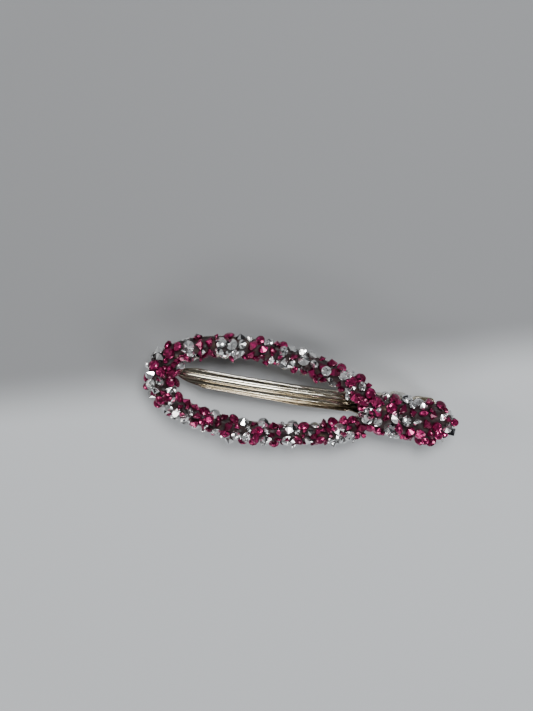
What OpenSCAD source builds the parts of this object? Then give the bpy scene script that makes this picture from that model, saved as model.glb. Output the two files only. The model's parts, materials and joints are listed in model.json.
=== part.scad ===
// Rhinestone beak clip: an open teardrop frame with a tail, crusted with pointed-back
// rhinestones, over a sprung lower jaw that shows through the opening.
// Millimetres. +Z is the decorated side, +X runs from the jaw's tip to the tail, and
// the origin is on the table under the middle of the closed clip.

/* [Loop] */
// Length of the loop along its centre line, tip to heel
loop_l = 58.5; // [57:0.5:60]
// Half the width of the loop between its centre lines, at its widest
loop_half_w = 11.3; // [11:0.1:11.6]
// How much fuller the loop is towards its tip
loop_egg = 0.15; // [0.1:0.01:0.2]
// Where the middle of the loop lies along the clip
loop_x = -9.2; // [-9.6:0.1:-8.8]
// Width of the stamped metal band
band_w = 4; // [3.8:0.1:4.2]
// Depth of the pad that fills the inside of the tip, where the jaw closes
pad_w = 3; // [2.8:0.1:3.2]
// Thickness of the stamped sheet of the frame
frame_t = 0.8; // [0.7:0.05:0.9]
// Height of the underside of the frame above the table
frame_z = 6.9; // [6.8:0.1:7.2]

/* [Tail] */
// Distance along X of the end of the tail plate
tail_end_x = 41; // [40:0.5:42]
// Width of the tail plate where it leaves the loop
tail_root_w = 8.6; // [8.4:0.1:8.8]
// Width of the tail plate at its widest
tail_w = 9.8; // [9.6:0.1:10]
// Length of the rounded end of the tail plate
tail_round_l = 6.5; // [6:0.5:7]

/* [Adhesive] */
// How far the adhesive stands out past the edge of the metal
glue_lip = 0.2; // [0.1:0.05:0.3]
// Height of the wide lower layer of adhesive above the frame
glue_low_h = 2.1; // [1.9:0.1:2.2]
// Height of the narrow upper layer of adhesive on the loop
glue_top_h = 0.7; // [0.5:0.1:0.8]
// Width of the foot of a dab of adhesive that holds a raised stone
dab_foot_d = 1.4; // [1.2:0.1:1.6]
// Width of the top of a dab, in the middle of its stone
dab_top_d = 0.7; // [0.6:0.1:0.8]

/* [Stones] */
// Diameter of the large rhinestones
large_d = 3; // [2.9:0.05:3.1]
// Diameter of the middle rhinestones
middle_d = 2.6; // [2.4:0.05:2.6]
// Diameter of the small rhinestones
small_d = 2; // [1.9:0.05:2.1]
// Diameter of the tiny rhinestones that fill the last hollows
tiny_d = 1.5; // [1.4:0.05:1.6]
// Distance of the side rows from the middle of the band
side_row = 2.35; // [2.2:0.05:2.5]
// Distance of the two crown rows from the middle of the band
crown_row = 1.25; // [1.2:0.05:1.35]
// Height of the side rows' centres above the underside of the frame
side_row_h = 2.43; // [2.4:0.01:2.6]
// Height of the crown rows' centres above the underside of the frame
crown_row_h = 4.05; // [4:0.05:4.2]
// Height of the tail's top rows above the underside of the frame
tail_row_h = 4; // [3.9:0.05:4.1]
// Share of the rows' seats that take a large stone if one fits
large_share = 0.75; // [0.3:0.05:0.9]
// Most that a stone may lean from its seat, in degrees
max_lean = 36; // [20:2:40]
// How far a stone may shift from the middle of its seat
seat_play = 0.35; // [0.2:0.05:0.4]
// Places on the loop where a filler stone is tried
loop_fillers = 420; // [100:20:500]
// Places on the tail where a filler stone is tried
tail_fillers = 120; // [40:10:160]
// How far filler stones may ride above the rows
filler_lift = 1.1; // [0.8:0.1:1.3]
// Seed of the stones' random tilts and sizes
stone_seed = 11; // [1:1:99]

/* [Lower jaw] */
// Distance of the jaw's point from the hinge pin
jaw_reach = 60.7; // [59:0.1:61]
// Width of the jaw's channel
jaw_w = 4.9; // [4.7:0.1:5.2]
// Width of the jaw between the hinge ears
hinge_w = 6; // [5.8:0.1:6]
// Width of the thumb lever
lever_w = 7.8; // [7:0.1:8]
// Thickness of the jaw's sheet
jaw_t = 0.5; // [0.45:0.05:0.6]
// Radius of the jaw's upward bow
bow_r = 200; // [195:5:205]
// Distance along X of the highest point of the bow
bow_x = -25; // [-26:0.5:-24]
// Drop of the jaw's underside below the frame at the top of the bow
bow_drop = 1.05; // [1:0.05:1.1]
// Height of the channel's walls near the point
wall_front_h = 1.4; // [1.2:0.1:1.6]
// Height of the channel's walls near the heel of the loop
wall_rear_h = 2.8; // [2.6:0.1:3]
// Length of the jaw's pointed end
point_l = 7.5; // [7:0.5:8]
// Width of the bead pressed along the middle of the jaw
bead_w = 1.7; // [1.5:0.1:1.9]
// Height of the bead
bead_h = 0.45; // [0.4:0.05:0.5]

/* [Hinge] */
// Distance along X of the hinge pin
pin_x = 26.4; // [26:0.1:26.8]
// Drop of the pin's axis below the underside of the frame
pin_drop = 4; // [3.9:0.1:4.1]
// Diameter of the hinge pin
pin_d = 1.6; // [1.5:0.05:1.7]
// Radial clearance of the jaw on the pin
pin_gap = 0.06; // [0.03:0.01:0.09]
// Radius of the frame's hinge ears round the pin
ear_r = 2.4; // [2.3:0.05:2.5]
// Thickness of the frame's hinge ears
ear_t = 0.7; // [0.6:0.05:0.8]
// Gap between the frame's ears and the jaw's
ear_gap = 0.3; // [0.25:0.05:0.35]
// Distance of the lever's end from the pin
lever_l = 10.6; // [10:0.1:11]

/* [Spring] */
// Diameter of the spring wire
wire_d = 0.6; // [0.5:0.05:0.65]
// Mean diameter of the coil
coil_d = 2.9; // [2.8:0.05:3]
// Whole turns in the coil, besides the half turn that sets the legs apart
coil_turns = 3; // [2:1:3]
// Reach of the spring's legs from the pin
leg_l = 7.5; // [6:0.5:8]

/* [Hidden] */

pale_gold = [0.8, 0.76, 0.64];
steel = [0.6, 0.6, 0.6];
glue_brown = [0.36, 0.28, 0.16];
fuchsia = [0.72, 0.08, 0.32];
silver = [0.85, 0.86, 0.88];

fine = 36;          // facets of every round surface
dab_sides = 6;
over = 1;           // how far a cutting shape runs past what it cuts
loop_a = loop_l / 2;
loop_step = 4;      // degrees between the outline's points
pad_end_x = loop_x - loop_a + band_w / 2 + pad_w;
pin_z = frame_z - pin_drop;
tip_x = pin_x - jaw_reach;
tail_start_x = loop_x + loop_a - band_w / 2 + 1;
tail_round_x = tail_end_x - tail_round_l;
crown_z = frame_z + crown_row_h;
side_z = frame_z + side_row_h;
bed_mid_z = frame_z + 2;    // height of the middle of the adhesive above the table
bed_top_z = frame_z + frame_t + glue_low_h + glue_top_h;
side_lean = 62;     // lean of the side rows from upright
crown_lean = 18;    // lean of the crown rows from upright
tail_edge_gap = 0.6;    // least distance of the tail's inner seats from its edge

// ---------- Outlines of the loop and the tail ----------

function unit(v) = v / norm(v);
function left_of(v) = [-v.y, v.x];

// Centre line of the loop; angle 0 is its tip, 90 the middle of the +Y arc
function loop_point(angle) = [
    loop_x - loop_a * cos(angle),
    loop_half_w * sin(angle) * (1 + loop_egg * cos(angle))
];
function loop_heading(angle) = unit([
    loop_a * sin(angle),
    loop_half_w * (cos(angle) + loop_egg * cos(2 * angle))
]);
function loop_outward(angle) = left_of(loop_heading(angle));
function loop_inner(angle, margin) =
    loop_point(angle) - (band_w / 2 + margin) * loop_outward(angle);
function loop_outer(angle, margin) =
    loop_point(angle) + (band_w / 2 + margin) * loop_outward(angle);

function tail_half(x) = x < tail_round_x
    ? (tail_root_w + (tail_w - tail_root_w) * (x - tail_start_x) / (tail_round_x - tail_start_x)) / 2
    : tail_w / 2 * sqrt(max(0, 1 - pow((x - tail_round_x) / tail_round_l, 2)));

// Half of the tail's outline, from the loop round to the middle of its end
function tail_edge(margin) = concat(
    [[tail_start_x, tail_root_w / 2 + margin]],
    [for (angle = [90 : -10 : 0]) [
        tail_round_x + (tail_round_l + margin) * cos(angle),
        (tail_w / 2 + margin) * sin(angle)
    ]]
);
function mirrored(points) = [for (i = [len(points) - 1 : -1 : 0]) [points[i].x, -points[i].y]];

// The band round the loop's opening, which the pad's straight edge cuts off at the tip
module loop_band(margin) {
    angles = [0 : loop_step : 360 - loop_step];
    difference() {
        polygon([for (angle = angles) loop_outer(angle, margin)]);
        intersection() {
            polygon([for (angle = angles) loop_inner(angle, margin)]);
            translate([pad_end_x + margin, -loop_l / 2])
                square(loop_l);
        }
    }
}

module plan_outline(margin) {
    loop_band(margin);
    polygon(concat(tail_edge(margin), mirrored(tail_edge(margin))));
}

// ---------- Frame, adhesive and hinge ----------

module frame_ear() {
    rotate([90, 0, 0])
        linear_extrude(ear_t)
            difference() {
                union() {
                    translate([pin_x, pin_z])
                        circle(ear_r, $fn = fine);
                    translate([pin_x - ear_r, pin_z])
                        square([2 * ear_r, pin_drop + frame_t / 2]);
                }
                translate([pin_x, pin_z])
                    circle(d = pin_d, $fn = fine);
            }
}

module upper_frame() {
    color(pale_gold) {
        translate([0, 0, frame_z])
            linear_extrude(frame_t)
                plan_outline(0);
        translate([0, -hinge_w / 2 - ear_gap, 0])
            frame_ear();
        translate([0, hinge_w / 2 + ear_gap + ear_t, 0])
            frame_ear();
    }
}

// A dab that rises from the middle of the bed to the middle of a stone
module adhesive_dab(stone) {
    outward = stone[4];
    dab_h = (stone[0].z - bed_mid_z) / outward.z;
    translate(stone[0])
        rotate([0, acos(outward.z), atan2(outward.y, outward.x)])
            translate([0, 0, -dab_h])
                cylinder(d1 = dab_foot_d, d2 = dab_top_d, h = dab_h, $fn = dab_sides);
}

module adhesive_bed() {
    glue_step = 0.6;
    color(glue_brown) {
        translate([0, 0, frame_z + frame_t])
            linear_extrude(glue_low_h)
                plan_outline(glue_lip);
        translate([0, 0, frame_z + frame_t + glue_low_h])
            linear_extrude(glue_top_h)
                plan_outline(glue_lip - glue_step);
        for (stone = raised_stones)
            adhesive_dab(stone);
    }
}

module hinge_pin() {
    head_d = pin_d + 1;
    head_h = 0.4;
    shank_l = hinge_w + 2 * (ear_gap + ear_t);
    color(steel)
        translate([pin_x, 0, pin_z])
            rotate([90, 0, 0]) {
                cylinder(d = pin_d, h = shank_l, center = true, $fn = fine);
                for (side = [0, 1])
                    mirror([0, 0, side])
                        translate([0, 0, shank_l / 2])
                            cylinder(d1 = head_d, d2 = pin_d, h = head_h, $fn = fine);
            }
}

// ---------- Lower jaw ----------

jaw_end_x = pin_x + lever_l;
flare_x = 14;         // where the channel starts to widen towards the hinge
shoulder_x = 19;      // the walls' shoulders stop the jaw against the frame
shoulder_end_x = 21.5;
stop_gap = 0.15;      // gap left at the stop when closed
tip_wall_x = tip_x + point_l;
ear_end_x = pin_x + ear_r + 1;
lever_start_x = ear_end_x + 2;
lever_corner = 1.2;   // chamfer of the lever's corners
knee_x = bow_x + sqrt(2 * bow_r * (frame_z - bow_drop));

// Underside of the jaw: a bowed blade that runs into a level lever
function jaw_under(x) = x > knee_x ? 0 : frame_z - bow_drop - pow(x - bow_x, 2) / (2 * bow_r);
jaw_xs = concat([tip_x], [for (x = [tip_x + 1 : 2 : knee_x]) x], [knee_x, jaw_end_x]);

// Half the jaw's width along its length
function jaw_half(x) =
    x < tip_x + point_l ? jaw_w / 2 * (1 - pow(1 - (x - tip_x) / point_l, 2))
    : lookup(x, [
        [flare_x, jaw_w / 2],
        [shoulder_x, hinge_w / 2],
        [ear_end_x, hinge_w / 2],
        [lever_start_x, lever_w / 2],
        [jaw_end_x - lever_corner, lever_w / 2],
        [jaw_end_x, lever_w / 2 - lever_corner]
    ]);
half_xs = concat(
    [for (x = [tip_x : 0.75 : tip_wall_x]) x],
    [flare_x, shoulder_x, ear_end_x, lever_start_x, jaw_end_x - lever_corner, jaw_end_x]
);

// Height of the channel's walls above the table
function wall_top(x) = lookup(x, [
    [tip_wall_x - 0.5, jaw_under(tip_wall_x - 0.5) + jaw_t],
    [tip_wall_x + 1, jaw_under(tip_wall_x + 1) + jaw_t + wall_front_h],
    [0, jaw_under(0) + jaw_t + wall_rear_h],
    [flare_x + 1, jaw_under(flare_x + 1) + jaw_t + wall_rear_h],
    [shoulder_x, frame_z - stop_gap],
    [shoulder_end_x, frame_z - stop_gap],
    [pin_x - 1.5, pin_z + 2],
    [pin_x + 1.5, pin_z + 2],
    [pin_x + 4, jaw_t + 1.6],
    [jaw_end_x - 2, jaw_t + 1.4],
    [jaw_end_x, jaw_t + 0.6]
]);
wall_xs = concat(
    [for (x = [tip_wall_x - 0.5 : 1.5 : 0]) x],
    [0, 5, 10, flare_x + 1, shoulder_x, shoulder_end_x],
    [pin_x - 1.5, pin_x + 1.5, pin_x + 4, jaw_end_x - 2, jaw_end_x]
);

module jaw_plan(inset) {
    polygon(concat(
        [for (x = half_xs) [x, max(0, jaw_half(x) - inset)]],
        [for (i = [len(half_xs) - 1 : -1 : 0]) [half_xs[i], -max(0, jaw_half(half_xs[i]) - inset)]]
    ));
}

// A strip of the side view, from the jaw's underside plus low to the heights in tops
module side_strip(xs, low, tops) {
    rotate([90, 0, 0])
        linear_extrude(lever_w + over, center = true)
            polygon(concat(
                [for (x = xs) [x, jaw_under(x) + low]],
                [for (i = [len(xs) - 1 : -1 : 0]) [xs[i], tops[i]]]
            ));
}

module jaw_floor() {
    intersection() {
        side_strip(jaw_xs, 0, [for (x = jaw_xs) jaw_under(x) + jaw_t]);
        linear_extrude(frame_z)
            jaw_plan(0);
    }
}

module jaw_walls() {
    intersection() {
        side_strip(wall_xs, jaw_t / 2, [for (x = wall_xs) wall_top(x)]);
        linear_extrude(2 * frame_z)
            difference() {
                jaw_plan(0);
                jaw_plan(jaw_t);
            }
    }
}

module jaw_bead() {
    bead_xs = [for (x = [tip_x + 2 : 2 : flare_x]) x];
    intersection() {
        side_strip(bead_xs, jaw_t / 2, [for (x = bead_xs) jaw_under(x) + jaw_t + bead_h]);
        linear_extrude(frame_z + over)
            translate([tip_x, -bead_w / 2])
                square([jaw_reach, bead_w]);
    }
}

module lower_jaw() {
    color(pale_gold)
        difference() {
            union() {
                jaw_floor();
                jaw_walls();
                jaw_bead();
            }
            translate([pin_x, 0, pin_z])
                rotate([90, 0, 0])
                    cylinder(r = pin_d / 2 + pin_gap, h = hinge_w + over, center = true, $fn = fine);
        }
}

// ---------- Torsion spring ----------

wire_sides = 8;
coil_step = 20;
coil_sweep = 360 * coil_turns + 180;
coil_pitch = wire_d + 0.08;
leg_gap = 0.05;       // gap between a leg and the metal that it bears on
coil_w = coil_pitch * coil_sweep / 360;

// The wire leaves the coil's top towards the tail, and its bottom towards the lever
upper_leg_end = [leg_l, -coil_w / 2, pin_drop - wire_d / 2 - leg_gap];
lower_leg_end = [leg_l, coil_w / 2, jaw_t - pin_z + wire_d / 2 + leg_gap];
wire_path = concat(
    [upper_leg_end],
    [for (turn = [0 : coil_step : coil_sweep]) [
        -coil_d / 2 * sin(turn),
        -coil_w / 2 + coil_w * turn / coil_sweep,
        coil_d / 2 * cos(turn)
    ]],
    [lower_leg_end]
);

// One ring of points square to the path at point i
function wire_ring(path, i) =
    let (
        ahead = path[min(i + 1, len(path) - 1)],
        behind = path[max(i - 1, 0)],
        along = unit(ahead - behind),
        side = unit(cross(along, [0, 1, 0])),
        up = cross(side, along)
    )
    [for (k = [0 : wire_sides - 1])
        path[i] + wire_d / 2 * (cos(360 * k / wire_sides) * side + sin(360 * k / wire_sides) * up)];

module swept_wire(path) {
    n = len(path);
    rings = [for (i = [0 : n - 1]) wire_ring(path, i)];
    polyhedron(
        points = [for (ring = rings) for (p = ring) p],
        faces = concat(
            [[for (k = [wire_sides - 1 : -1 : 0]) k]],
            [for (i = [0 : n - 2]) for (k = [0 : wire_sides - 1])
                let (next = (k + 1) % wire_sides)
                [i * wire_sides + k, i * wire_sides + next,
                 (i + 1) * wire_sides + next, (i + 1) * wire_sides + k]],
            [[for (k = [0 : wire_sides - 1]) (n - 1) * wire_sides + k]]
        )
    );
}

module torsion_spring() {
    color(steel)
        translate([pin_x, 0, pin_z])
            swept_wire(wire_path);
}

// ---------- Where the stones sit ----------

// Colour and setting of each stone along its row, as in a beading chart:
// F fuchsia face out, f fuchsia on edge, S silver point out, s silver face out
outer_chart = "SsSFFsFFFFSSFSFSSsFFFsFFFFFsFFFsSFFFFFfSffFsFFSssSfSfF";
outer_crown_chart = "SFSFFSFFsSSFFfSfSSFFSFSFFFSFFsSsFsFSFSfSSFSFFSssFFs";
inner_crown_chart = "FFFFFFSSSFFSSSsFFsFSFFsSFFSFFsSSFSFSFFfFFSFSSF";
inner_chart = "FFfsFFSSFFfFsFsFFsFSFfsFFFfsFSSFSFSFFSFFFFSF";
pad_chart = "FFSF";
edge_chart = "SFsSFFssSSFfFssF";
tail_charts = ["sFSfFFFF", "FFSsSFFS", "sFFFFFFs"];
filler_chart = "FSFfFFSsFFf";

function zone_at(p) =
    p.x < -31.5 ? "tip"
    : p.x > 31 ? "tail_end"
    : p.x > 20.5 ? "tail_root"
    : p.x > 11 ? "heel"
    : p.y > 0 ? (p.x < -10 ? "upper_front" : "upper_rear")
    : (p.x < -10 ? "lower_front" : "lower_rear");

// Values of a path's parameter at equal steps of length along its points
function even_steps(params, points, count, shift) =
    let (
        last = len(points) - 1,
        table = [for (i = 0, s = 0; i <= last;
                      s = s + norm(points[min(i + 1, last)] - points[i]), i = i + 1)
            [s, params[i]]],
        total = table[last][0]
    )
    [for (i = [0 : count - 1]) lookup((i + shift) * total / count, table)];

// A level direction raised to lean degrees from straight up
function raised(level, lean) = [level.x * sin(lean), level.y * sin(lean), cos(lean)];

// The k-th random number from 0 to 1 of seat i
draws = rands(0, 1, 9973, stone_seed);
function draw(i, k) = draws[(i * 61 + k * 7) % len(draws)];

// A seat is [centre, outward direction, letter]; a row has one seat for each letter
loop_angles = [for (angle = [0 : 3 : 360]) angle];
// A place beside the loop's centre line; past the opening's edge at the tip it follows the pad's edge
function beside_loop(a, offset) =
    let (p = loop_point(a) + offset * loop_outward(a))
    [offset < 0 ? max(p.x, pad_end_x - offset - band_w / 2) : p.x, p.y];
function loop_row(offset, height, lean, shift, chart) =
    let (
        points = [for (a = loop_angles) beside_loop(a, offset)],
        steps = even_steps(loop_angles, points, len(chart), shift)
    )
    [for (i = [0 : len(chart) - 1])
        let (p = beside_loop(steps[i], offset))
        [[p.x, p.y, height], raised(loop_outward(steps[i]), lean), chart[i]]];

outer_row = loop_row(side_row, side_z, side_lean, 0.5, outer_chart);
outer_crown = loop_row(crown_row, crown_z, crown_lean, 0, outer_crown_chart);
inner_crown = loop_row(-crown_row, crown_z, -crown_lean, 0.5, inner_crown_chart);
inner_row = loop_row(-side_row, side_z, -side_lean, 0.5, inner_chart);

// A short row across the middle of the pad, from the +Y side
pad_row_x = pad_end_x - band_w / 2 - pad_w / 2;
pad_pitch = 2.7;
pad_seats = [for (i = [0 : len(pad_chart) - 1])
    [[pad_row_x, ((len(pad_chart) - 1) / 2 - i) * pad_pitch, crown_z], [0, 0, 1], pad_chart[i]]];

// The outer row stops where the tail's edge row begins
loop_seats = concat(
    inner_row,
    outer_crown,
    inner_crown,
    pad_seats,
    [for (seat = outer_row) if (seat[0].x < tail_start_x - 1) seat]
);

// The tail's edge, from its root on the +Y side (t = -1) round its end to the other (t = 1)
edge_out = side_row - band_w / 2;
function edge_point(t) =
    abs(t) > 0.5
    ? let (x = tail_round_x - (2 * abs(t) - 1) * (tail_round_x - tail_start_x - 1.5))
        [x, -sign(t) * (tail_half(x) + edge_out)]
    : [
        tail_round_x + (tail_round_l + edge_out) * cos(180 * t),
        -(tail_w / 2 + edge_out) * sin(180 * t)
    ];
function edge_outward(t) = unit(left_of(edge_point(t + 0.01) - edge_point(t - 0.01)));
edge_params = [for (t = [-1 : 0.02 : 1]) t];
edge_steps = even_steps(edge_params, [for (t = edge_params) edge_point(t)], len(edge_chart), 0.5);
edge_seats = [for (i = [0 : len(edge_chart) - 1])
    let (p = edge_point(edge_steps[i]))
    [[p.x, p.y, side_z], raised(edge_outward(edge_steps[i]), side_lean), edge_chart[i]]];

// Three rows along the top of the tail, the middle one half a step on
tail_pitch = 2.7;
tail_seats = [
    for (i = [0 : len(tail_charts[0]) - 1]) for (row = [0 : 2])
        let (
            x = tail_start_x + (i + (row == 1 ? 0.5 : 0)) * tail_pitch,
            y = (row - 1) * tail_pitch
        )
        if (x < tail_end_x && abs(y) < tail_half(x) - tail_edge_gap)
            [[x, y, frame_z + tail_row_h], [0, 0, 1], tail_charts[row][i]]
];

// Smaller stones pressed into the hollows that are left, at random places on the adhesive
function filler_letter(i) = filler_chart[i % len(filler_chart)];
loop_filler_seats = [for (i = [0 : loop_fillers - 1])
    let (
        a = 360 * (i + draw(i, 1)) / loop_fillers,
        lean = side_lean * (2 * draw(i, 2) - 1),
        out = raised(loop_outward(a), lean),
        foot = loop_point(a) + [pad_w * draw(i, 7) * pow(max(0, cos(a)), 8), 0],
        seat = [foot.x, foot.y, bed_mid_z] + (side_row + filler_lift * draw(i, 3)) * out
    )
    [seat, out, filler_letter(i)]];
tail_filler_seats = [for (i = [0 : tail_fillers - 1])
    let (
        x = tail_start_x + (tail_end_x - tail_start_x) * draw(i, 4),
        y = (2 * draw(i, 5) - 1) * (tail_half(x) + edge_out),
        z = frame_z + tail_row_h + filler_lift * (draw(i, 6) - 0.5)
    )
    [[x, y, z], [0, 0, 1], filler_letter(i)]];

// ---------- Setting the stones so that none cuts another ----------

// A stone is [centre, axis from point to face, radius, letter, its seat's outward direction]
point_depth = 0.86;    // all four in radii
girdle_half = 0.06;
face_r = 0.58;
face_h = 0.42;
stone_gap = 0.02;

function reach(stone, way) =
    let (
        along = stone[1] * way,
        across = sqrt(max(0, 1 - along * along))
    )
    stone[2] * max(
        -point_depth * along,
        across + girdle_half * abs(along),
        face_r * across + face_h * along
    );

// Two stones are apart if some plane square to one of these directions lies between them
function splits(a, b, way) = (b[0] - a[0]) * way > reach(a, way) + reach(b, -way) + stone_gap;
function apart(a, b) =
    let (d = b[0] - a[0], line = unit(d))
    norm(d) > a[2] + b[2] + stone_gap
    || splits(a, b, line)
    || splits(a, b, a[1]) || splits(a, b, -a[1])
    || splits(a, b, b[1]) || splits(a, b, -b[1])
    || splits(a, b, unit(line + a[1] / 2)) || splits(a, b, unit(line - a[1] / 2))
    || splits(a, b, unit(line + b[1] / 2)) || splits(a, b, unit(line - b[1] / 2))
    || splits(a, b, unit(line + a[1])) || splits(a, b, unit(line - a[1]))
    || splits(a, b, unit(line + b[1])) || splits(a, b, unit(line - b[1]));

// Sizes to try in turn, from the largest that a seat may get
tries = 30;
function size_for(i, k, filler) =
    let (first = filler || draw(i, 1) > large_share ? 1 : 0, class = first + floor(3 * k / tries))
    [large_d, middle_d, small_d, tiny_d][min(class, 3)];

// The k-th way of setting a stone in seat i
function candidate(seat, i, k, filler) =
    let (
        letter = seat[2],
        outward = seat[1],
        side = unit(cross(outward, abs(outward.z) > 0.9 ? [1, 0, 0] : [0, 0, 1])),
        other = cross(outward, side),
        swing = 360 * draw(i, 10 + 5 * k),
        lean = letter == "f" ? 90 - max_lean / 2 * draw(i, 11 + 5 * k) : max_lean * draw(i, 11 + 5 * k),
        face = letter == "S" ? -1 : 1,
        axis = face * cos(lean) * outward + sin(lean) * (cos(swing) * side + sin(swing) * other),
        shift = seat_play * ((2 * draw(i, 12 + 5 * k) - 1) * side + (2 * draw(i, 13 + 5 * k) - 1) * other)
            + seat_play * draw(i, 14 + 5 * k) * outward
    )
    [seat[0] + shift, axis, size_for(i, k, filler) / 2, letter, outward];

function set_in(seat, i, others, filler, k = 0) =
    k == tries ? undef
    : let (stone = candidate(seat, i, k, filler))
        len([for (other = others) if (!apart(stone, other)) 1]) == 0 ? stone
        : set_in(seat, i, others, filler, k + 1);

function set_all(seats, placed, filler, i = 0) =
    i == len(seats) ? placed
    : let (
        seat = seats[i],
        others = [for (stone = placed) if (norm(stone[0] - seat[0]) < large_d + 2 * seat_play) stone],
        stone = set_in(seat, i, others, filler)
    )
    set_all(seats, stone == undef ? placed : concat(placed, [stone]), filler, i + 1);

row_stones = set_all(concat(loop_seats, edge_seats, tail_seats), [], false);
all_stones = set_all(concat(loop_filler_seats, tail_filler_seats), row_stones, true);

// Every filler stands on a dab, and so does a row's stone whose inner end stops short of the bed
least_sink = 0.1;
function inner_end(stone) = stone[0] - reach(stone, -stone[4]) * stone[4];
raised_stones = [for (i = [0 : len(all_stones) - 1])
    if (i >= len(row_stones) || inner_end(all_stones[i]).z > bed_top_z - least_sink) all_stones[i]];

function is_fuchsia(stone) = stone[3] == "F" || stone[3] == "f";

// A pointed-back rhinestone: point, girdle and flat face
module rhinestone(stone) {
    r = stone[2];
    axis = stone[1];
    translate(stone[0])
        rotate([0, acos(axis.z), atan2(axis.y, axis.x)])
            rotate_extrude($fn = fine)
                polygon([
                    [0, -point_depth * r],
                    [r, -girdle_half * r],
                    [r, girdle_half * r],
                    [face_r * r, face_h * r],
                    [0, face_h * r]
                ]);
}

module stone_group(zone, want_fuchsia) {
    for (stone = all_stones)
        if (zone_at(stone[0]) == zone && is_fuchsia(stone) == want_fuchsia)
            rhinestone(stone);
}

module fuchsia_stones(zone) {
    color(fuchsia)
        stone_group(zone, true);
}

module silver_stones(zone) {
    color(silver)
        stone_group(zone, false);
}

module tip_fuchsia_stones() { fuchsia_stones("tip"); }
module tip_silver_stones() { silver_stones("tip"); }
module upper_front_fuchsia_stones() { fuchsia_stones("upper_front"); }
module upper_front_silver_stones() { silver_stones("upper_front"); }
module upper_rear_fuchsia_stones() { fuchsia_stones("upper_rear"); }
module upper_rear_silver_stones() { silver_stones("upper_rear"); }
module lower_front_fuchsia_stones() { fuchsia_stones("lower_front"); }
module lower_front_silver_stones() { silver_stones("lower_front"); }
module lower_rear_fuchsia_stones() { fuchsia_stones("lower_rear"); }
module lower_rear_silver_stones() { silver_stones("lower_rear"); }
module heel_fuchsia_stones() { fuchsia_stones("heel"); }
module heel_silver_stones() { silver_stones("heel"); }
module tail_root_fuchsia_stones() { fuchsia_stones("tail_root"); }
module tail_root_silver_stones() { silver_stones("tail_root"); }
module tail_end_fuchsia_stones() { fuchsia_stones("tail_end"); }
module tail_end_silver_stones() { silver_stones("tail_end"); }

upper_frame();
adhesive_bed();
lower_jaw();
hinge_pin();
torsion_spring();
tip_fuchsia_stones();
tip_silver_stones();
upper_front_fuchsia_stones();
upper_front_silver_stones();
upper_rear_fuchsia_stones();
upper_rear_silver_stones();
lower_front_fuchsia_stones();
lower_front_silver_stones();
lower_rear_fuchsia_stones();
lower_rear_silver_stones();
heel_fuchsia_stones();
heel_silver_stones();
tail_root_fuchsia_stones();
tail_root_silver_stones();
tail_end_fuchsia_stones();
tail_end_silver_stones();
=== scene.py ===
"""Looks of the rhinestone beak clip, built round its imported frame. Metres, in the frame's own axes:
+X from the jaw's point to the tail, +Z out of the decorated side, the table at z = 0."""

import json
import math
import random

import bmesh
import bpy
from mathutils import Matrix, Vector, noise


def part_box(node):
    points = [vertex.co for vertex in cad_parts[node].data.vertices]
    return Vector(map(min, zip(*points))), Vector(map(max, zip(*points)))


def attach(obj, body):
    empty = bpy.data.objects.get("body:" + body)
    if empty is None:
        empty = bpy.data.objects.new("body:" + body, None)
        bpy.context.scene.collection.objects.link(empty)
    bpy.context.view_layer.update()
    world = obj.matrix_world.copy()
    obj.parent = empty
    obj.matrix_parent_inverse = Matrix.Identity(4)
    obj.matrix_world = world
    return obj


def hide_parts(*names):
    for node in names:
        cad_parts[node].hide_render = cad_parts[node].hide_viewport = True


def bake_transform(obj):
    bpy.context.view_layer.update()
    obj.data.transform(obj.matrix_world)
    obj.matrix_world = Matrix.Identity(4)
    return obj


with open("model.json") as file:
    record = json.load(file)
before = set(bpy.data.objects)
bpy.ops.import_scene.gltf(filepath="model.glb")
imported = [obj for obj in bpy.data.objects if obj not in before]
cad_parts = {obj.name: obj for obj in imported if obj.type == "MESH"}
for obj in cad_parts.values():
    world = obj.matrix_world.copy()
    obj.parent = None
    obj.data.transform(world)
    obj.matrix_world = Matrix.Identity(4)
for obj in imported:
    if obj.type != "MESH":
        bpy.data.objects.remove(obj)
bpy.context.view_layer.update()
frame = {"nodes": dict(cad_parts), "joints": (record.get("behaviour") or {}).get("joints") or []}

MM = 0.001

# ---------- Driving dimensions ----------

FRAME_T = 0.8 * MM          # upper frame's sheet
SHEET_T = 0.5 * MM          # lower jaw's sheet
BEAD_W = 1.7 * MM
BEAD_H = 0.5 * MM
BOW_R = 200 * MM            # the jaw's upward bow
BOW_X = -25 * MM
BOW_DROP = 1.05 * MM        # of the jaw's underside below the frame's, at the top of the bow
POINT_L = 7.5 * MM          # length of the jaw's pointed end
CHANNEL_W = 4.9 * MM
HINGE_W = 6 * MM            # jaw between the frame's ears
FLARE_X = 14 * MM           # where the channel starts to widen
SHOULDER_X = 19 * MM
SHOULDER_END_X = 21.5 * MM
WALL_FLARE = math.tan(math.radians(8))
WALL_FRONT_H = 1.4 * MM     # the channel's walls, above its floor
WALL_REAR_H = 2.8 * MM
LEVER_FRONT_H = 1.6 * MM    # the thumb lever's walls, above its floor
LEVER_END_H = 0.6 * MM
STOP_GAP = 0.15 * MM        # between the closed jaw's shoulder and the frame
WIRE_D = 0.6 * MM
COIL_D = 2.9 * MM
COIL_TURNS = 3.5
COIL_PITCH = WIRE_D + 0.08 * MM
LEG_L = 7.5 * MM
LEG_GAP = 0.05 * MM         # between a leg of the spring and the sheet it presses on
PIN_R = 0.8 * MM
PIN_HEAD_H = 0.4 * MM

WELD = 1e-6                 # points nearer than this are one point
ROUND_CREASE = 50           # degrees; sharper edges of the pin and the spring stay sharp

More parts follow.
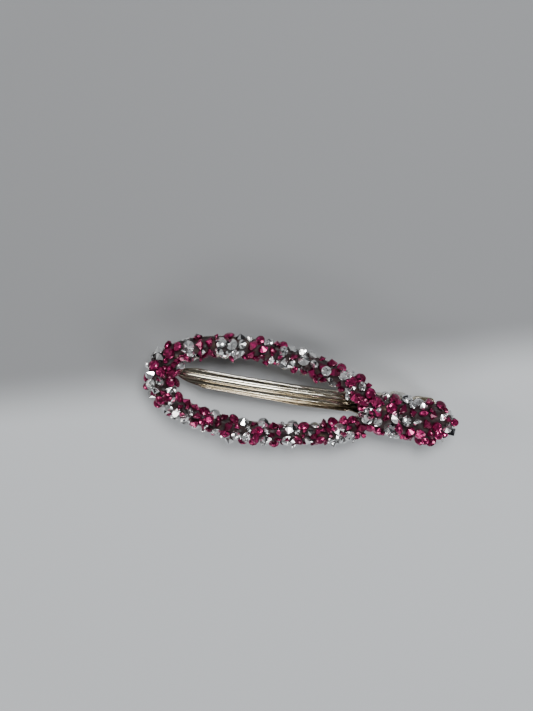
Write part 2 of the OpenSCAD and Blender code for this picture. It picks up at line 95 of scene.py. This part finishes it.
joint = frame["joints"][0]
PIN = Vector(joint["pos_m"])
FRAME_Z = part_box("adhesive_bed")[0].z - FRAME_T      # underside of the frame's sheet
jaw_lo, jaw_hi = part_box("lower_jaw")
pin_lo, pin_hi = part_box("hinge_pin")

STONE_NODES = sorted(n for n in frame["nodes"] if n.endswith("_stones"))


# ---------- Mesh helpers ----------

def new_object(name, mesh):
    obj = bpy.data.objects.new(name, mesh)
    bpy.context.scene.collection.objects.link(obj)
    return obj


def mesh_from(name, verts, faces, smooth=True):
    mesh = bpy.data.meshes.new(name)
    mesh.from_pydata([tuple(v) for v in verts], [], faces)
    mesh.validate()
    for poly in mesh.polygons:
        poly.use_smooth = smooth
    return mesh


def apply_modifiers(obj):
    graph = bpy.context.evaluated_depsgraph_get()
    done = bpy.data.meshes.new_from_object(obj.evaluated_get(graph))
    obj.modifiers.clear()
    obj.data = done


def shade_smooth(mesh):
    for poly in mesh.polygons:
        poly.use_smooth = True


def smooth_by_angle(obj, degrees):
    limit = math.radians(degrees)
    bm = bmesh.new()
    bm.from_mesh(obj.data)
    for face in bm.faces:
        face.smooth = True
    for edge in bm.edges:
        edge.smooth = len(edge.link_faces) == 2 and edge.calc_face_angle(0) < limit
    bm.to_mesh(obj.data)
    bm.free()


def finish_piece(obj, body, material, slot, *nodes):
    obj.data.materials.clear()
    obj.data.materials.append(material)
    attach(obj, body)
    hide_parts(*nodes)


def welded_copy(node):
    """A bmesh of a CAD node's mesh with its shared corners joined. The node itself isn't changed."""
    bm = bmesh.new()
    bm.from_mesh(frame["nodes"][node].data)
    bmesh.ops.remove_doubles(bm, verts=bm.verts, dist=WELD)
    return bm


def circle(radius, count, turn=0.0):
    """Points (across, up) spaced evenly round a circle, the first at the angle turn."""
    angles = [turn + math.tau * i / count for i in range(count)]
    return [(radius * math.cos(a), radius * math.sin(a)) for a in angles]


def tube_faces(rings, sides):
    """Quads that join each ring of points to the next."""
    faces = []
    for i in range(rings - 1):
        for k in range(sides):
            n = (k + 1) % sides
            faces.append((i * sides + k, i * sides + n, (i + 1) * sides + n, (i + 1) * sides + k))
    return faces


# ---------- Materials ----------

FACET_WEAR, FACET_RIPPLE = 1800, 900        # noise scales, per metre
GLUE_DUST_AND_SHADE, GLUE_GRAIN = 420, 1600
PAPER_GRAIN = 900
DRAWING_LINES = (25, 2600, 2600)            # along X
STEEL_SCRATCHES = (900, 3000, 900)          # round the pin and the coil


def new_material(name, metallic, roughness, coat=0.0, coat_roughness=0.03):
    material = bpy.data.materials.new(name)
    material.use_nodes = True
    shader = material.node_tree.nodes["Principled BSDF"]
    shader.inputs["Metallic"].default_value = metallic
    shader.inputs["Roughness"].default_value = roughness
    shader.inputs["Coat Weight"].default_value = coat
    shader.inputs["Coat Roughness"].default_value = coat_roughness
    return material, material.node_tree, shader


def place_coords(tree, scale):
    coords = tree.nodes.new("ShaderNodeTexCoord")
    mapping = tree.nodes.new("ShaderNodeMapping")
    mapping.inputs["Scale"].default_value = scale
    tree.links.new(coords.outputs["Object"], mapping.inputs["Vector"])
    return mapping.outputs["Vector"]


def noise_node(tree, vector, scale, detail=4.0):
    node = tree.nodes.new("ShaderNodeTexNoise")
    node.inputs["Scale"].default_value = scale
    node.inputs["Detail"].default_value = detail
    tree.links.new(vector, node.inputs["Vector"])
    return node.outputs["Fac"]


def ramp(tree, value, stops):
    node = tree.nodes.new("ShaderNodeValToRGB")
    elements = node.color_ramp.elements
    while len(elements) < len(stops):
        elements.new(0.5)
    for element, (place, colour) in zip(elements, stops):
        element.position = place
        element.color = (*colour, 1)
    tree.links.new(value, node.inputs["Fac"])
    return node.outputs["Color"]


def spread(tree, value, low, high):
    node = tree.nodes.new("ShaderNodeMapRange")
    node.inputs["To Min"].default_value = low
    node.inputs["To Max"].default_value = high
    tree.links.new(value, node.inputs["Value"])
    return node.outputs["Result"]


def eased(tree, value, start, end):
    """0 before start and 1 past end, with a smooth step between them."""
    node = tree.nodes.new("ShaderNodeMapRange")
    node.interpolation_type = "SMOOTHSTEP"
    node.inputs["From Min"].default_value = start
    node.inputs["From Max"].default_value = end
    tree.links.new(value, node.inputs["Value"])
    return node.outputs["Result"]


def painted(tree, name):
    """The value that a mesh carries under this attribute's name."""
    node = tree.nodes.new("ShaderNodeAttribute")
    node.attribute_name = name
    return node.outputs["Fac"]


def plain_colour(tree, colour):
    node = tree.nodes.new("ShaderNodeRGB")
    node.outputs["Color"].default_value = (*colour, 1)
    return node.outputs["Color"]


def bump(tree, shader, height, distance, strength):
    node = tree.nodes.new("ShaderNodeBump")
    node.inputs["Distance"].default_value = distance
    node.inputs["Strength"].default_value = strength
    tree.links.new(height, node.inputs["Height"])
    tree.links.new(node.outputs["Normal"], shader.inputs["Normal"])


def stone_material(name, stops, metallic, roughness, coat):
    """Foil-backed glass. Each facet's painted reflection, light or dark, picks its colour, and fine
    noise breaks its polish.
    """
    material, tree, shader = new_material(name, metallic, roughness[0], coat, 0.02)
    tree.links.new(ramp(tree, painted(tree, "painted_reflection"), stops), shader.inputs["Base Color"])
    vector = place_coords(tree, (1, 1, 1))
    wear = noise_node(tree, vector, FACET_WEAR)
    tree.links.new(spread(tree, wear, *roughness), shader.inputs["Roughness"])
    bump(tree, shader, noise_node(tree, vector, FACET_RIPPLE), 0.01 * MM, 0.35)
    return material


def mixed(tree, share, first, second):
    node = tree.nodes.new("ShaderNodeMix")
    node.data_type = "RGBA"
    sockets = {socket.identifier: socket for socket in (*node.inputs, *node.outputs)}
    tree.links.new(share, sockets["Factor_Float"])
    tree.links.new(first, sockets["A_Color"])
    tree.links.new(second, sockets["B_Color"])
    return sockets["Result_Color"]


def gold_material():
    """Pale-gold plating with lengthwise drawing lines, browner where the mesh carries a painted brown
    reflection.
    """
    material, tree, shader = new_material("pale_gold", 1.0, 0.2)
    lines = noise_node(tree, place_coords(tree, DRAWING_LINES), 1.0, 3)
    plating = ramp(tree, lines, [
        (0.34, (0.17, 0.14, 0.09)),
        (0.48, (0.46, 0.42, 0.33)),
        (0.66, (0.72, 0.69, 0.60)),
    ])
    # A painted brown reflection, mixed into the plating on the jaw's -Y wall.
    painted_brown_reflection = ramp(tree, lines, [(0.35, (0.10, 0.075, 0.05)), (0.65, (0.27, 0.20, 0.135))])
    tree.links.new(mixed(tree, painted(tree, "painted_wall_reflection"), plating, painted_brown_reflection), shader.inputs["Base Color"])
    tree.links.new(spread(tree, lines, 0.12, 0.32), shader.inputs["Roughness"])
    bump(tree, shader, lines, 0.02 * MM, 0.5)
    return material


def steel_material():
    material, tree, shader = new_material("drawn_steel", 1.0, 0.28)
    scratches = noise_node(tree, place_coords(tree, STEEL_SCRATCHES), 1.0)
    colour = ramp(tree, scratches, [(0.3, (0.38, 0.37, 0.35)), (0.7, (0.66, 0.65, 0.62))])
    tree.links.new(colour, shader.inputs["Base Color"])
    tree.links.new(spread(tree, scratches, 0.18, 0.4), shader.inputs["Roughness"])
    bump(tree, shader, scratches, 0.01 * MM, 0.4)
    return material


def glue_material():
    """Cured adhesive with pale-gold dust caught in it, dark in itself and painted nearly black as shade
    between the stones.
    """
    material, tree, shader = new_material("adhesive", 0.0, 0.6)
    vector = place_coords(tree, (1, 1, 1))
    dust_and_shade = noise_node(tree, vector, GLUE_DUST_AND_SHADE)
    # Nearly black stops: the glue's own dark colour, deepened into painted shade between the stones.
    colour = ramp(tree, dust_and_shade, [
        (0.42, (0.008, 0.002, 0.003)),
        (0.58, (0.022, 0.007, 0.008)),
        (0.68, (0.05, 0.028, 0.018)),
        (0.8, (0.42, 0.36, 0.24)),
    ])
    tree.links.new(colour, shader.inputs["Base Color"])
    grain = noise_node(tree, vector, GLUE_GRAIN)
    tree.links.new(spread(tree, grain, 0.4, 0.75), shader.inputs["Roughness"])
    bump(tree, shader, grain, 0.08 * MM, 0.6)
    return material


# From black to bright: the facets' painted reflections pick their colours from these stops.
FUCHSIA = stone_material("fuchsia_foil_glass", [
    (0.0, (0.016, 0.001, 0.005)),
    (0.45, (0.15, 0.005, 0.043)),
    (0.8, (0.34, 0.012, 0.105)),
    (1.0, (0.78, 0.06, 0.29)),
], 0.75, (0.12, 0.32), 0.3)
SILVER = stone_material("silver_foil_glass", [
    (0.0, (0.03, 0.03, 0.035)),
    (0.35, (0.50, 0.50, 0.50)),
    (0.7, (0.82, 0.83, 0.84)),
    (1.0, (0.97, 0.97, 0.96)),
], 0.94, (0.1, 0.28), 0.35)
GOLD = gold_material()
STEEL = steel_material()
GLUE = glue_material()


# ---------- Rhinestones ----------

POINT_DEPTH = 0.86          # all in radii
LOWER_CORNER = -0.06
UPPER_CORNER = 0.13
GIRDLE_DIP = 0.055          # of the girdle's upper edge between its corners
STAR_R, STAR_H = 0.8, 0.28
TABLE_R, TABLE_H = 0.56, 0.42
FACETS = 8

# Facet tones are painted reflections: each facet is painted light or dark, as a mirror would show it.
GIRDLE_TONES = (0.1, 0.35)  # how light a facet looks, from 0 to 1
FUCHSIA_TONE, FUCHSIA_SPREAD = 0.56, 0.2
DARK_SHARE = 0.24           # of a silver stone's facets
DARK_TONES = (0.0, 0.2)
LIGHT_TONES = (0.6, 1.0)
STONE_SHADE = 0.14          # how much lighter or darker a whole stone may be


def islands(bm):
    """The separate solids of a mesh, as lists of its vertices."""
    left = set(bm.verts)
    while left:
        start = min(left, key=lambda v: v.index)
        found, waiting = {start}, [start]
        while waiting:
            vert = waiting.pop()
            for edge in vert.link_edges:
                other = edge.other_vert(vert)
                if other not in found:
                    found.add(other)
                    waiting.append(other)
        left -= found
        yield sorted(found, key=lambda v: v.index)


def stones_of(node):
    """(Girdle's centre, axis from point to face, radius) of each stone of a CAD node, from its mesh."""
    bm = welded_copy(node)
    bm.verts.index_update()
    stones = []
    for verts in islands(bm):
        point = max(verts, key=lambda v: len(v.link_edges)).co.copy()
        middle = sum((v.co for v in verts), Vector()) / len(verts)
        axis = (middle - point).normalized()
        radius = max(((v.co - point) - (v.co - point).dot(axis) * axis).length for v in verts)
        stones.append((point + axis * POINT_DEPTH * radius, axis, radius))
    bm.free()
    return stones


def scallop(low_r, low_h, corner_h):
    """Height at which a flat facet that passes the girdle's corners meets it halfway between them."""
    chord = math.cos(math.pi / FACETS)
    return corner_h + (corner_h - low_h) * (1 - chord) / (chord - low_r)


def cut_stone():
    """Points and faces of a stone of radius 1 on +Z, and what each face is."""
    half = math.pi / FACETS
    lower_mid = scallop(0, -POINT_DEPTH, LOWER_CORNER)
    upper_mid = UPPER_CORNER - GIRDLE_DIP
    verts = [Vector((0, 0, -POINT_DEPTH))]
    for corner, middle in ((LOWER_CORNER, lower_mid), (UPPER_CORNER, upper_mid)):
        for i, (x, y) in enumerate(circle(1, 2 * FACETS)):
            verts.append(Vector((x, y, corner if i % 2 == 0 else middle)))
    verts += [Vector((x, y, STAR_H)) for x, y in circle(STAR_R, FACETS, half)]
    verts += [Vector((x, y, TABLE_H)) for x, y in circle(TABLE_R, FACETS)]
    verts.append(Vector((0, 0, TABLE_H)))
    low, high = 1, 1 + 2 * FACETS
    star, table = 1 + 4 * FACETS, 1 + 5 * FACETS
    centre = 1 + 6 * FACETS
    faces, kinds = [], []
    for i in range(FACETS):
        j = (i + 1) % FACETS
        a, b, c = 2 * i, 2 * i + 1, (2 * i + 2) % (2 * FACETS)
        before = (i - 1) % FACETS
        faces.append((0, low + c, low + b, low + a))
        faces.append((low + a, low + b, high + b, high + a))
        faces.append((low + b, low + c, high + c, high + b))
        faces.append((high + a, high + b, star + i))
        faces.append((high + b, high + c, star + i))
        faces.append((high + a, star + i, table + i, star + before))
        faces.append((star + i, table + j, table + i))
        faces.append((table + i, table + j, centre))
        kinds += ["back", "girdle", "girdle", "crown", "crown", "crown", "crown", "table"]
    return verts, faces, kinds


CUT_VERTS, CUT_FACES, CUT_KINDS = cut_stone()


def clamped(value):
    return min(1.0, max(0.0, value))


def painted_facet_reflection(kind, rng, fuchsia):
    """Painted reflections: girdles are dark, fuchsia facets stay near one level, and silver ones are
    nearly black or light.
    """
    if kind == "girdle":
        return rng.uniform(*GIRDLE_TONES)
    if fuchsia:
        return clamped(rng.gauss(FUCHSIA_TONE, FUCHSIA_SPREAD))
    if rng.random() < DARK_SHARE:
        return rng.uniform(*DARK_TONES)
    return rng.uniform(*LIGHT_TONES)


def build_stones(node):
    """Puts a cut stone in the place of each plain one of a CAD node, and returns how many."""
    fuchsia = "fuchsia" in node
    stones = stones_of(node)
    verts, faces, painted_reflections = [], [], []
    for index, (centre, axis, radius) in enumerate(stones):
        rng = random.Random(f"{node} {index}")
        spin = Matrix.Rotation(rng.uniform(0, math.tau), 3, "Z")
        turn = axis.to_track_quat("Z", "Y").to_matrix() @ spin
        shade = rng.uniform(-STONE_SHADE, STONE_SHADE)
        base = len(verts)
        verts += [centre + radius * (turn @ v) for v in CUT_VERTS]
        for face, kind in zip(CUT_FACES, CUT_KINDS):
            faces.append(tuple(base + i for i in face))
            painted_reflections.append(clamped(painted_facet_reflection(kind, rng, fuchsia) + shade))
    mesh = mesh_from(node + "_cut", verts, faces, smooth=False)
    # Each face keeps its painted reflection as a colour attribute, which the stone material reads.
    layer = mesh.color_attributes.new("painted_reflection", "FLOAT_COLOR", "CORNER")
    for poly, painted_reflection in zip(mesh.polygons, painted_reflections):
        for loop in poly.loop_indices:
            layer.data[loop].color = (painted_reflection, painted_reflection, painted_reflection, 1)
    obj = new_object(node + "_cut", mesh)
    finish_piece(obj, "frame", FUCHSIA if fuchsia else SILVER,
                 "fuchsia_stone" if fuchsia else "silver_stone", node)
    return len(stones)


# ---------- Adhesive ----------

GLUE_VOXEL = 0.3 * MM
GLUE_LUMP = 0.22 * MM
GLUE_SINK = 0.12 * MM       # how far the bed settles between the stones
GLUE_RISE = 0.6 * MM        # height above the metal over which the lumps come in
SOFTENING = 4               # passes of smoothing
LUMPS, FINE_LUMPS = 700, 2100   # noise scales, per metre
FINE_SHARE = 0.45


def build_glue():
    bm = welded_copy("adhesive_bed")
    mesh = bpy.data.meshes.new("adhesive_lumps")
    bm.to_mesh(mesh)
    bm.free()
    obj = new_object("adhesive_lumps", mesh)
    remesh = obj.modifiers.new("voxels", "REMESH")
    remesh.mode = "VOXEL"
    remesh.voxel_size = GLUE_VOXEL
    soften = obj.modifiers.new("soften", "SMOOTH")
    soften.iterations = SOFTENING
    apply_modifiers(obj)
    metal_top = FRAME_Z + FRAME_T
    normals = [v.normal.copy() for v in obj.data.vertices]
    for vert, normal in zip(obj.data.vertices, normals):
        lift = clamped((vert.co.z - metal_top) / GLUE_RISE)
        broad = noise.noise(vert.co * LUMPS)
        fine = noise.noise(vert.co * FINE_LUMPS)
        vert.co += normal * lift * (GLUE_LUMP * (broad + FINE_SHARE * fine) - GLUE_SINK)
    shade_smooth(obj.data)
    finish_piece(obj, "frame", GLUE, "adhesive", "adhesive_bed")


# ---------- Frame ----------

FLAT_ANGLE = math.radians(1)        # facets that differ by less are one face
EDGE_ROLL = 0.14 * MM
ROLL_SEGMENTS = 3
SHARP_EDGE = math.radians(35)
FRAME_CREASE = 28                   # degrees


def build_frame():
    bm = welded_copy("upper_frame")
    bmesh.ops.dissolve_limit(bm, angle_limit=FLAT_ANGLE, verts=bm.verts, edges=bm.edges)
    mesh = bpy.data.meshes.new("stamped_frame")
    bm.to_mesh(mesh)
    bm.free()
    obj = new_object("stamped_frame", mesh)
    edge = obj.modifiers.new("rolled_edge", "BEVEL")
    edge.width = EDGE_ROLL
    edge.segments = ROLL_SEGMENTS
    edge.limit_method = "ANGLE"
    edge.angle_limit = SHARP_EDGE
    apply_modifiers(obj)
    smooth_by_angle(obj, FRAME_CREASE)
    finish_piece(obj, "frame", GOLD, "pale_gold_metal", "upper_frame")


# ---------- Lower jaw ----------

TIP_X = jaw_lo.x
END_X = jaw_hi.x
LEVER_W = jaw_hi.y - jaw_lo.y
CORNER = 1.2 * MM                   # cut off each corner of the lever's end
KNEE_X = BOW_X + math.sqrt(2 * BOW_R * (FRAME_Z - BOW_DROP))    # where the bow meets the table
WALL_X = TIP_X + POINT_L
WALL_START_X = WALL_X - 0.5 * MM
WALL_FULL_X = WALL_X + 1 * MM
EAR_HALF, EAR_TOP = 1.5 * MM, 2 * MM            # the jaw's ears, from the pin
EAR_END_X = PIN.x + 3.4 * MM
LEVER_FLARE_X = EAR_END_X + 2 * MM              # where the lever reaches its width
LEVER_WALL_X = PIN.x + 4 * MM
POINT_HALF = 0.25 * MM              # half the width of the jaw's very point
SECTION_HALF = 0.12 * MM            # the least half width of the sheet's middle line
LEAST_WALL = 0.05 * MM
BEND_R = 0.45 * MM
BEAD_START_X, BEAD_FULL_X = TIP_X + 1 * MM, TIP_X + 4 * MM
BEAD_FADE_X, BEAD_END_X = FLARE_X - 2 * MM, FLARE_X + 1 * MM
POINT_STATIONS, JAW_STATIONS = 12, 64
WALL_POINTS = 3                     # of the section's first side, counted from the top of its wall
PAINTED_WALL_REFLECTION = 0.6                       # share of the painted brown reflection on that wall


def between(x, stops):
    """The value at x of straight runs through (place, value) stops."""
    if x <= stops[0][0]:
        return stops[0][1]
    for (start, first), (end, last) in zip(stops, stops[1:]):
        if x <= end:
            return first + (last - first) * (x - start) / (end - start)
    return stops[-1][1]


def jaw_under(x):
    """Height of the jaw's underside: a shallow arc, then flat on the table."""
    return 0.0 if x > KNEE_X else FRAME_Z - BOW_DROP - (x - BOW_X) ** 2 / (2 * BOW_R)


def channel_floor(x):
    return jaw_under(x) + SHEET_T


def jaw_half(x):
    if x < WALL_X:
        return max(POINT_HALF, CHANNEL_W / 2 * (1 - (1 - (x - TIP_X) / POINT_L) ** 2))
    return between(x, [
        (FLARE_X, CHANNEL_W / 2), (SHOULDER_X, HINGE_W / 2), (EAR_END_X, HINGE_W / 2),
        (LEVER_FLARE_X, LEVER_W / 2), (END_X - CORNER, LEVER_W / 2), (END_X, LEVER_W / 2 - CORNER),
    ])


def wall_height(x):
    if x <= WALL_START_X:
        return LEAST_WALL
    top = between(x, [
        (WALL_START_X, channel_floor(WALL_X) + LEAST_WALL),
        (WALL_FULL_X, channel_floor(WALL_FULL_X) + WALL_FRONT_H),
        (0, channel_floor(0) + WALL_REAR_H),
        (FLARE_X, channel_floor(FLARE_X) + WALL_REAR_H),
        (SHOULDER_X, FRAME_Z - STOP_GAP), (SHOULDER_END_X, FRAME_Z - STOP_GAP),
        (PIN.x - EAR_HALF, PIN.z + EAR_TOP), (PIN.x + EAR_HALF, PIN.z + EAR_TOP),
        (LEVER_WALL_X, SHEET_T + LEVER_FRONT_H), (END_X, SHEET_T + LEVER_END_H),
    ])
    return max(LEAST_WALL, top - channel_floor(x))


def jaw_section(x):
    """The sheet's middle line across the jaw at x: wall, bend, flange, bead, flange, bend, wall."""
    half = max(SECTION_HALF, jaw_half(x) - SHEET_T / 2)
    height = wall_height(x)
    base = jaw_under(x) + SHEET_T / 2
    bend = min(BEND_R, half * 0.4)
    lean = WALL_FLARE if WALL_X < x < FLARE_X else 0.0
    foot = min(BEAD_W / 2, half * 0.5)
    crest = BEAD_H * between(x, [
        (BEAD_START_X, 0.0), (BEAD_FULL_X, 1.0), (BEAD_FADE_X, 1.0), (BEAD_END_X, 0.0)])
    side = [
        (half + lean * height, height),
        (half + lean * height * 0.55, height * 0.55),
        (half, min(bend, height * 0.4)),
        (half - bend * 0.3, min(bend * 0.3, height * 0.15)),
        (half - bend, 0.0),
        ((half - bend + foot) / 2, 0.0),
        (foot, 0.0),
        (foot * 0.72, crest * 0.3),
        (foot * 0.34, crest * 0.92),
    ]
    left = [(-y, z) for y, z in side]
    right = list(reversed(side))
    return [Vector((x, y, base + z)) for y, z in left + [(0.0, crest)] + right]


def jaw_stations():
    """Places of the sections along the jaw, closest together at its very point."""
    xs = [TIP_X + POINT_L * (i / POINT_STATIONS) ** 1.5 for i in range(POINT_STATIONS)]
    xs += [WALL_X + (END_X - WALL_X) * i / JAW_STATIONS for i in range(JAW_STATIONS + 1)]
    return sorted(set(xs + [FLARE_X, SHOULDER_X, SHOULDER_END_X, END_X - CORNER]))


def build_jaw():
    rows = [jaw_section(x) for x in jaw_stations()]
    across = len(rows[0])
    verts = [p for row in rows for p in row]
    faces = [
        (i * across + k, i * across + k + 1, (i + 1) * across + k + 1, (i + 1) * across + k)
        for i in range(len(rows) - 1) for k in range(across - 1)
    ]
    mesh = mesh_from("ribbed_jaw", verts, faces)
    # The top points of the -Y wall carry a painted brown reflection.
    painted_wall_reflection = mesh.color_attributes.new("painted_wall_reflection", "FLOAT_COLOR", "POINT")
    for i in range(len(verts)):
        amount = PAINTED_WALL_REFLECTION if i % across < WALL_POINTS else 0.0
        painted_wall_reflection.data[i].color = (amount, amount, amount, 1)
    obj = new_object("ribbed_jaw", mesh)
    sheet = obj.modifiers.new("sheet", "SOLIDIFY")
    sheet.thickness = SHEET_T
    sheet.offset = 0
    sheet.use_even_offset = False
    soft = obj.modifiers.new("bends", "SUBSURF")
    soft.levels = soft.render_levels = 2
    apply_modifiers(obj)
    shade_smooth(obj.data)
    finish_piece(obj, "jaw", GOLD, "pale_gold_metal", "lower_jaw")


# ---------- Pin and spring ----------

PIN_SIDES = 40
DOME_ANGLES = (0.4, 0.8, 1.2, math.pi / 2)      # from the middle of a head out to its rim
SHANK_STEP = 0.05 * MM                          # from under a head to the shank
WIRE_SIDES = 14
STEPS_PER_TURN = 28
LEG_STEPS = 6


def build_pin():
    """A pin with two peened, domed heads, turned about the hinge's axis."""
    half_length = (pin_hi.y - pin_lo.y) / 2
    shank = half_length - PIN_HEAD_H
    head = (pin_hi.z - pin_lo.z) / 2
    outline = [(0.0, -half_length)]
    outline += [(head * math.sin(a), -shank - PIN_HEAD_H * math.cos(a)) for a in DOME_ANGLES]
    outline += [(PIN_R, -shank + SHANK_STEP)]
    outline += [(r, -y) for r, y in reversed(outline)]
    verts = [
        Vector((PIN.x + across, y, PIN.z + up))
        for r, y in outline for across, up in circle(r, PIN_SIDES)
    ]
    faces = tube_faces(len(outline), PIN_SIDES)
    obj = new_object("peened_pin", mesh_from("peened_pin", verts, faces))
    bm = bmesh.new()
    bm.from_mesh(obj.data)
    bmesh.ops.remove_doubles(bm, verts=bm.verts, dist=WELD)
    bmesh.ops.recalc_face_normals(bm, faces=bm.faces)
    bm.to_mesh(obj.data)
    bm.free()
    smooth_by_angle(obj, ROUND_CREASE)
    finish_piece(obj, "frame", STEEL, "steel", "hinge_pin")


def spring_path():
    """Points along the wire, from the frame's leg round the coil to the jaw's, and the coil's width."""
    width = COIL_PITCH * COIL_TURNS
    steps = int(COIL_TURNS * STEPS_PER_TURN)
    upper = PIN + Vector((LEG_L, -width / 2, FRAME_Z - PIN.z - WIRE_D / 2 - LEG_GAP))
    lower = PIN + Vector((LEG_L, width / 2, SHEET_T - PIN.z + WIRE_D / 2 + LEG_GAP))
    coil = []
    for i in range(steps + 1):
        turn = math.tau * COIL_TURNS * i / steps
        along = -width / 2 + width * i / steps
        coil.append(PIN + Vector((-COIL_D / 2 * math.sin(turn), along, COIL_D / 2 * math.cos(turn))))
    first = [upper.lerp(coil[0], t / LEG_STEPS) for t in range(LEG_STEPS)]
    last = [coil[-1].lerp(lower, t / LEG_STEPS) for t in range(1, LEG_STEPS + 1)]
    return first + coil + last, width


def build_spring():
    path, width = spring_path()
    verts = []
    for i, place in enumerate(path):
        along = (path[min(i + 1, len(path) - 1)] - path[max(i - 1, 0)]).normalized()
        side = along.cross(Vector((0, 1, 0))).normalized()
        up = side.cross(along)
        for k in range(WIRE_SIDES):
            a = math.tau * k / WIRE_SIDES
            verts.append(place + WIRE_D / 2 * (math.cos(a) * side + math.sin(a) * up))
    faces = tube_faces(len(path), WIRE_SIDES)
    faces.append(tuple(range(WIRE_SIDES - 1, -1, -1)))
    faces.append(tuple((len(path) - 1) * WIRE_SIDES + k for k in range(WIRE_SIDES)))
    obj = new_object("wound_spring", mesh_from("wound_spring", verts, faces))
    smooth_by_angle(obj, ROUND_CREASE)
    obj.data.materials.append(STEEL)
    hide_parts("torsion_spring")
    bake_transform(obj)


# ---------- Floor, light and camera ----------

VIEW_TILT = math.radians(18)       # off straight down, towards +Y
VIEW_ROLL = math.radians(10.2)
LENS = 50
VIEW_DISTANCE = 260.8 * MM
AIM_RIGHT, AIM_UP = -8.6 * MM, 11.4 * MM
AIM_Z = 9.1 * MM
CLIP_START = 10 * MM

FLOOR_HALF = 4.0                            # metres
FLOOR_NEAR = (0.445, 0.46, 0.475)
# Painted shade: the paper's colour towards +Y near the clip.
FLOOR_PAINTED_SHADE = (0.192, 0.197, 0.204)
FADE_TURN = math.radians(17)                # painted shade, darker towards the far left
FLOOR_PALE = (0.84, 0.85, 0.87)             # of the rest of the floor, away from the clip
PALE_START, PALE_END = 110 * MM, 420 * MM
FADE_START, FADE_END = -4 * MM, 13 * MM     # where the painted shade comes in, towards +Y

WORLD_STRENGTH = 0.5
ROOM_SCALE = 1.7                            # of the room's uneven panels
LIGHT_TARGET = Vector((0, 0, 8 * MM))
LIGHTS = [                                  # name, place, size, watts, colour
    ("key", (0.03, 0.30, 0.46), (0.2, 0.16), 3.3, (1, 1, 1)),
    ("left", (-0.42, 0.02, 0.2), (0.1, 0.3), 0.85, (1, 0.98, 0.95)),
    ("right", (0.4, -0.12, 0.3), (0.12, 0.25), 1.1, (0.95, 0.97, 1)),
    ("front", (-0.05, -0.4, 0.24), (0.3, 0.08), 0.7, (1, 1, 1)),
]


def build_floor():
    """Pale paper with painted shade, darker towards the far left near the clip, and pale all round
    further off.
    """
    corners = [(-FLOOR_HALF, -FLOOR_HALF, 0), (FLOOR_HALF, -FLOOR_HALF, 0),
               (FLOOR_HALF, FLOOR_HALF, 0), (-FLOOR_HALF, FLOOR_HALF, 0)]
    mesh = mesh_from("floor", corners, [(0, 1, 2, 3)])
    floor = new_object("floor", mesh)
    material, tree, shader = new_material("floor_paper", 0.0, 0.7)
    coords = tree.nodes.new("ShaderNodeTexCoord")
    turned = tree.nodes.new("ShaderNodeMapping")
    turned.inputs["Rotation"].default_value = (0, 0, -FADE_TURN)
    tree.links.new(coords.outputs["Object"], turned.inputs["Vector"])
    split = tree.nodes.new("ShaderNodeSeparateXYZ")
    tree.links.new(turned.outputs["Vector"], split.inputs["Vector"])
    # Painted shade: the paper darkens towards +Y, turned towards the far left.
    painted_shade_share = eased(tree, split.outputs["Y"], FADE_START, FADE_END)
    paper_with_painted_shade = ramp(tree, painted_shade_share, [(0.0, FLOOR_NEAR), (1.0, FLOOR_PAINTED_SHADE)])
    distance = tree.nodes.new("ShaderNodeVectorMath")
    distance.operation = "LENGTH"
    tree.links.new(coords.outputs["Object"], distance.inputs[0])
    away = eased(tree, distance.outputs["Value"], PALE_START, PALE_END)
    colour = mixed(tree, away, paper_with_painted_shade, plain_colour(tree, FLOOR_PALE))
    tree.links.new(colour, shader.inputs["Base Color"])
    bump(tree, shader, noise_node(tree, place_coords(tree, (1, 1, 1)), PAPER_GRAIN), 0.02 * MM, 0.2)
    mesh.materials.append(material)


def area_light(name, place, size, watts, colour):
    data = bpy.data.lights.new(name, "AREA")
    data.shape = "RECTANGLE"
    data.size, data.size_y = size
    data.energy = watts
    data.color = colour
    obj = bpy.data.objects.new(name, data)
    obj.location = place
    obj.rotation_mode = "QUATERNION"
    obj.rotation_quaternion = (Vector(place) - LIGHT_TARGET).to_track_quat("Z", "Y")
    bpy.context.scene.collection.objects.link(obj)


def build_lights():
    """A pale room, uneven enough for mirrored facets to differ, and four soft lights."""
    world = bpy.data.worlds.new("studio")
    world.use_nodes = True
    tree = world.node_tree
    directions = tree.nodes.new("ShaderNodeTexCoord").outputs["Generated"]
    room = noise_node(tree, directions, ROOM_SCALE, detail=1.0)
    panels = ramp(tree, room, [
        (0.40, (0.2, 0.203, 0.208)),
        (0.50, (0.33, 0.335, 0.345)),
        (0.62, (0.74, 0.75, 0.77)),
    ])
    background = tree.nodes["Background"]
    tree.links.new(panels, background.inputs["Color"])
    background.inputs["Strength"].default_value = WORLD_STRENGTH
    bpy.context.scene.world = world
    for light in LIGHTS:
        area_light(*light)


def build_camera():
    back = Vector((0, math.sin(VIEW_TILT), math.cos(VIEW_TILT)))
    level_up = Vector((0, math.cos(VIEW_TILT), -math.sin(VIEW_TILT)))
    along = Vector((1, 0, 0))
    right = math.cos(VIEW_ROLL) * along + math.sin(VIEW_ROLL) * level_up
    up = -math.sin(VIEW_ROLL) * along + math.cos(VIEW_ROLL) * level_up
    aim = Vector((0, 0, AIM_Z)) + AIM_RIGHT * right + AIM_UP * up
    data = bpy.data.cameras.new("camera")
    data.lens = LENS
    data.clip_start = CLIP_START
    camera = bpy.data.objects.new("camera", data)
    camera.matrix_world = Matrix.Translation(aim + VIEW_DISTANCE * back) @ Matrix(
        (right, up, back)).transposed().to_4x4()
    bpy.context.scene.collection.objects.link(camera)
    bpy.context.scene.camera = camera


stone_count = sum(build_stones(node) for node in STONE_NODES)
build_glue()
build_frame()
build_jaw()
build_pin()
build_spring()
build_floor()
build_lights()
build_camera()
print("stones", stone_count)
